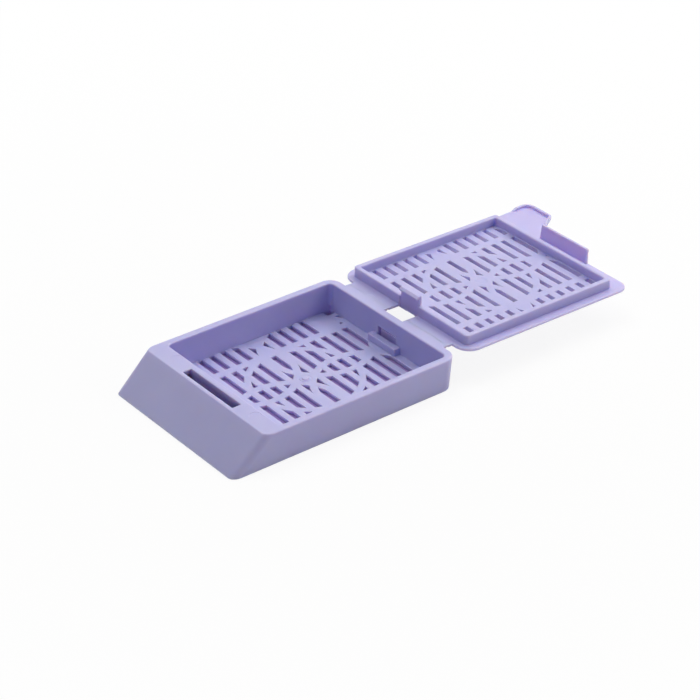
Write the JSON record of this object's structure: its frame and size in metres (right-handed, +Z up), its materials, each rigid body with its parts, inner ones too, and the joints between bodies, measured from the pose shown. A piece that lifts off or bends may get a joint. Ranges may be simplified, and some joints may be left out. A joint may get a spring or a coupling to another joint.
{
  "type": "tissue cassette",
  "caption": "Open histology cassette: a grated tray with a sloped writing face, and a grated lid joined to it by two strap hinges, with a latch plate and a finger tab.",
  "frame": {"origin": "middle of the tray floor's underside, on the surface that the cassette stands on", "axes": "+Z up, +Y from the writing face towards the lid, +X across the width to the right as seen from the writing face"},
  "size_m": [0.0288, 0.0779, 0.0081],
  "materials": {
    "acetal_lilac": "satin moulded acetal"
  },
  "bodies": {
    "base": {"cassette_base": "acetal_lilac"},
    "lid": {"cassette_lid": "acetal_lilac"}
  },
  "joints": [
    {"name": "lid_hinge", "type": "hinge", "parent": "base", "child": "lid", "pos_m": [0, 0.01648, 0.00525], "axis": [1, 0, 0], "range_deg": [0, 180.7]}
  ]
}
